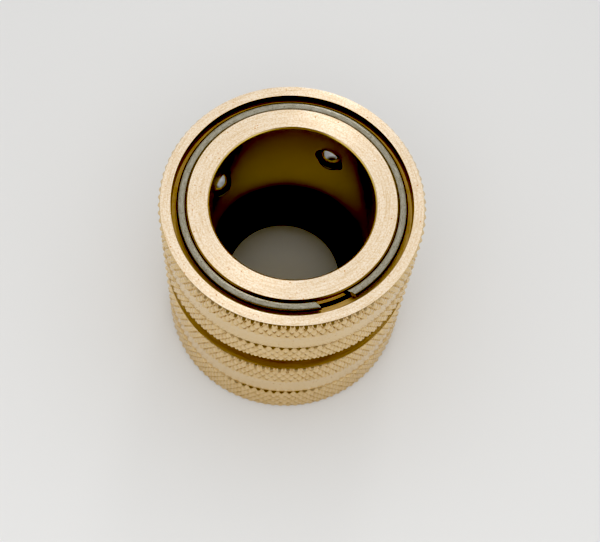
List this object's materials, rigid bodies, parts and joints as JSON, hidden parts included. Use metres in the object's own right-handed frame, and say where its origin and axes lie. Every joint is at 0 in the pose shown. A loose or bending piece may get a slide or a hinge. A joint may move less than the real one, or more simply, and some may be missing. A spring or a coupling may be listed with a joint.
{
  "type": "quick disconnect coupler",
  "caption": "Brass hose quick coupler socket with a knurled spring sleeve, locking balls, a snap ring and rubber seals; the sleeve slides back and turns.",
  "frame": {"origin": "centre of the base's bottom face, on the bore's axis", "axes": "+Z along the bore's axis, from the hose thread towards the mating end; the first locking ball lies 67 degrees round from +X towards +Y"},
  "size_m": [0.034, 0.034, 0.0333],
  "materials": {
    "brass": "turned bare brass with diamond knurled bands",
    "spring_steel": "drawn spring wire, satin",
    "polished_steel": "polished bearing ball",
    "rubber": "moulded black rubber, matte"
  },
  "bodies": {
    "body": {"coupler_body": "brass", "plug_seal": "rubber", "hose_washer": "rubber"},
    "spring": {"release_spring": "spring_steel"},
    "sleeve": {"sleeve": "brass"},
    "ring": {"snap_ring": "spring_steel"},
    "ball_1": {"ball_1": "polished_steel"},
    "ball_2": {"ball_2": "polished_steel"},
    "ball_3": {"ball_3": "polished_steel"},
    "ball_4": {"ball_4": "polished_steel"}
  },
  "joints": [
    {"name": "sleeve_turn", "type": "hinge", "parent": "body", "child": "spring", "pos_m": [0, 0, 0.0164], "axis": [0, 0, 1], "continuous": true},
    {"name": "sleeve_slide", "type": "slide", "parent": "spring", "child": "sleeve", "axis": [0, 0, -1], "range_m": [0, 0.0026], "stiffness_N_per_m": 2500, "springref_m": -0.003, "deforming": ["release_spring"]},
    {"name": "ring_turn", "type": "hinge", "parent": "body", "child": "ring", "pos_m": [0, 0, 0.0325], "axis": [0, 0, 1], "continuous": true},
    {"name": "ball_1_slide", "type": "slide", "parent": "body", "child": "ball_1", "axis": [0.3907, 0.9205, 0], "range_m": [0, 0.00125]},
    {"name": "ball_2_slide", "type": "slide", "parent": "body", "child": "ball_2", "axis": [-0.9205, 0.3907, 0], "range_m": [0, 0.00125]},
    {"name": "ball_3_slide", "type": "slide", "parent": "body", "child": "ball_3", "axis": [-0.3907, -0.9205, 0], "range_m": [0, 0.00125]},
    {"name": "ball_4_slide", "type": "slide", "parent": "body", "child": "ball_4", "axis": [0.9205, -0.3907, 0], "range_m": [0, 0.00125]}
  ],
  "couplings": [
    {"joint": "ball_1_slide", "follows": "sleeve_slide", "ratio": 0.48},
    {"joint": "ball_2_slide", "follows": "sleeve_slide", "ratio": 0.48},
    {"joint": "ball_3_slide", "follows": "sleeve_slide", "ratio": 0.48},
    {"joint": "ball_4_slide", "follows": "sleeve_slide", "ratio": 0.48}
  ]
}
